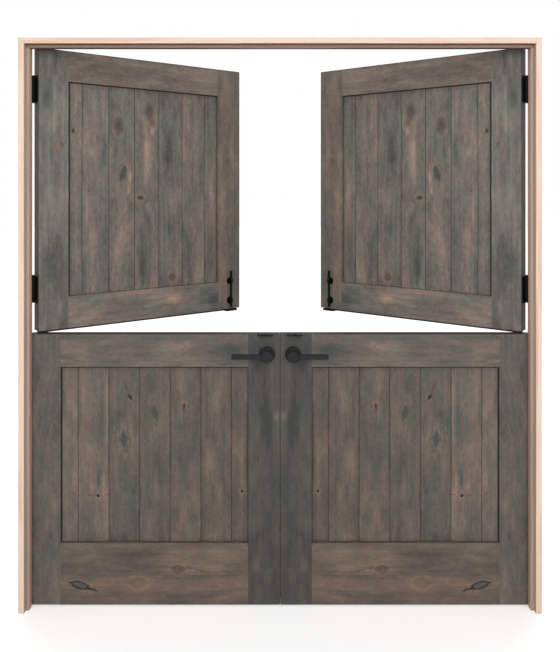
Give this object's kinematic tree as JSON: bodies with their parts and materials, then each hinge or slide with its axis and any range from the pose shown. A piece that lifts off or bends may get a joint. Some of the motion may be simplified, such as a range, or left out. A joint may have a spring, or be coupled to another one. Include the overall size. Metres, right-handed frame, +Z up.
{
  "type": "double dutch stable door",
  "caption": "Paired Dutch stable door in a plain lining frame: boarded leaves split at mid height swing outward on butt hinges, with lever handles and slide bolts.",
  "frame": {"origin": "floor level at the middle of the doorway, half way through the depth of the jambs", "axes": "+Z up, +X to the right and +Y away from a viewer on the side that carries the stops, towards which no leaf opens"},
  "size_m": [1.88, 0.6828, 2.068],
  "materials": {
    "pine": "bare planed softwood",
    "stained_alder": "grey-brown stain on knotty boards",
    "black_iron": "matt black",
    "latch_steel": "satin",
    "seal_rubber": "matt black"
  },
  "bodies": {
    "frame": {"left_jamb": "pine", "right_jamb": "pine", "head_jamb": "pine", "left_stop": "pine", "right_stop": "pine", "head_stop": "pine", "left_hinge_pins": "black_iron", "right_hinge_pins": "black_iron", "upper_left_frame_hinge_plates": "black_iron", "upper_right_frame_hinge_plates": "black_iron", "lower_left_frame_hinge_plates": "black_iron", "lower_right_frame_hinge_plates": "black_iron"},
    "upper_left": {"upper_left_hinge_stile": "stained_alder", "upper_left_meeting_stile": "stained_alder", "upper_left_top_rail": "stained_alder", "upper_left_bottom_rail": "stained_alder", "upper_left_boards": "stained_alder", "upper_left_leaf_hinge_plates": "black_iron", "left_bolt_guides": "black_iron", "left_bolt_foot": "black_iron", "left_edge_seal": "seal_rubber"},
    "lower_left": {"lower_left_hinge_stile": "stained_alder", "lower_left_meeting_stile": "stained_alder", "lower_left_top_rail": "stained_alder", "lower_left_bottom_rail": "stained_alder", "lower_left_boards": "stained_alder", "lower_left_leaf_hinge_plates": "black_iron", "left_bolt_keeper": "black_iron", "left_front_rosette": "black_iron", "left_rear_rosette": "black_iron", "strike_plate": "latch_steel"},
    "left_bolt": {"left_bolt_rod": "black_iron"},
    "left_lever": {"left_front_lever": "black_iron", "left_rear_lever": "black_iron", "left_spindle": "latch_steel"},
    "upper_right": {"upper_right_hinge_stile": "stained_alder", "upper_right_meeting_stile": "stained_alder", "upper_right_top_rail": "stained_alder", "upper_right_bottom_rail": "stained_alder", "upper_right_boards": "stained_alder", "upper_right_leaf_hinge_plates": "black_iron", "right_bolt_guides": "black_iron", "right_bolt_foot": "black_iron", "right_edge_seal": "seal_rubber"},
    "lower_right": {"lower_right_hinge_stile": "stained_alder", "lower_right_meeting_stile": "stained_alder", "lower_right_top_rail": "stained_alder", "lower_right_bottom_rail": "stained_alder", "lower_right_boards": "stained_alder", "lower_right_leaf_hinge_plates": "black_iron", "right_bolt_keeper": "black_iron", "right_front_rosette": "black_iron", "right_rear_rosette": "black_iron", "latch_case": "latch_steel"},
    "right_bolt": {"right_bolt_rod": "black_iron"},
    "right_lever": {"right_front_lever": "black_iron", "right_rear_lever": "black_iron", "right_spindle": "latch_steel"},
    "latch": {"latch_bolt": "latch_steel"}
  },
  "joints": [
    {"name": "upper_left_swing", "type": "hinge", "parent": "frame", "child": "upper_left", "pos_m": [-0.9175, 0.0539, 1], "axis": [0, 0, 1], "range_deg": [-39.7, 60.3]},
    {"name": "lower_left_swing", "type": "hinge", "parent": "frame", "child": "lower_left", "pos_m": [-0.9175, 0.0539, 1], "axis": [0, 0, 1], "range_deg": [0, 100]},
    {"name": "left_bolt_slide", "type": "slide", "parent": "upper_left", "child": "left_bolt", "axis": [0, 0, -1], "range_m": [0, 0.024]},
    {"name": "left_lever_turn", "type": "hinge", "parent": "lower_left", "child": "left_lever", "pos_m": [-0.047, 0.02525, 0.921], "axis": [0, -1, 0], "range_deg": [0, 45], "stiffness_Nm_per_rad": 1.5, "springref_deg": -22.92},
    {"name": "upper_right_swing", "type": "hinge", "parent": "frame", "child": "upper_right", "pos_m": [0.9175, 0.0539, 1], "axis": [0, 0, -1], "range_deg": [-39.7, 60.3]},
    {"name": "lower_right_swing", "type": "hinge", "parent": "frame", "child": "lower_right", "pos_m": [0.9175, 0.0539, 1], "axis": [0, 0, -1], "range_deg": [0, 100]},
    {"name": "right_bolt_slide", "type": "slide", "parent": "upper_right", "child": "right_bolt", "axis": [0, 0, -1], "range_m": [0, 0.024]},
    {"name": "right_lever_turn", "type": "hinge", "parent": "lower_right", "child": "right_lever", "pos_m": [0.047, 0.02525, 0.921], "axis": [0, 1, 0], "range_deg": [0, 45], "stiffness_Nm_per_rad": 1.5, "springref_deg": -22.92},
    {"name": "latch_slide", "type": "slide", "parent": "lower_right", "child": "latch", "axis": [1, 0, 0], "range_m": [0, 0.012]}
  ],
  "couplings": [
    {"joint": "latch_slide", "follows": "right_lever_turn", "m_per_rad": 0.015269}
  ]
}
